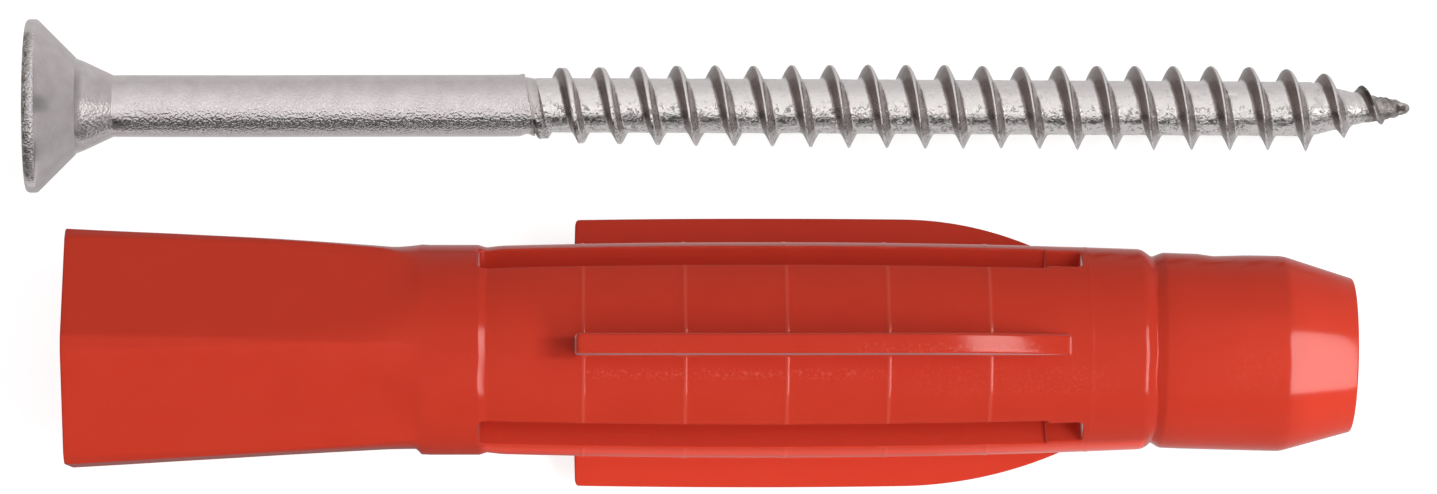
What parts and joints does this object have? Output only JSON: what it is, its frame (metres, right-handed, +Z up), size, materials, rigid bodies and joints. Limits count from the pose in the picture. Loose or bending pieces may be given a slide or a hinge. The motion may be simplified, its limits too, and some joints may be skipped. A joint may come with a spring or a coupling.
{
  "type": "wall plug with screw",
  "caption": "Slotted plastic wall plug with side fins, a flared six-sided mouth and a tapered nose, lying beside its countersunk, part-threaded steel screw.",
  "frame": {"origin": "on the surface that both pieces lie on, under the middle of the pair's box", "axes": "+X from the screw's head and the plug's mouth towards the point and the nose, +Y from the plug towards the screw, +Z up from the surface"},
  "size_m": [0.0802, 0.0272, 0.0151],
  "materials": {
    "screw_steel": "bright zinc-plated steel, finely speckled on the plain shank and polished on the thread",
    "plug_plastic": "semi-gloss moulded red plastic"
  },
  "bodies": {
    "root": {"screw": "screw_steel", "wall_plug": "plug_plastic"}
  },
  "joints": []
}
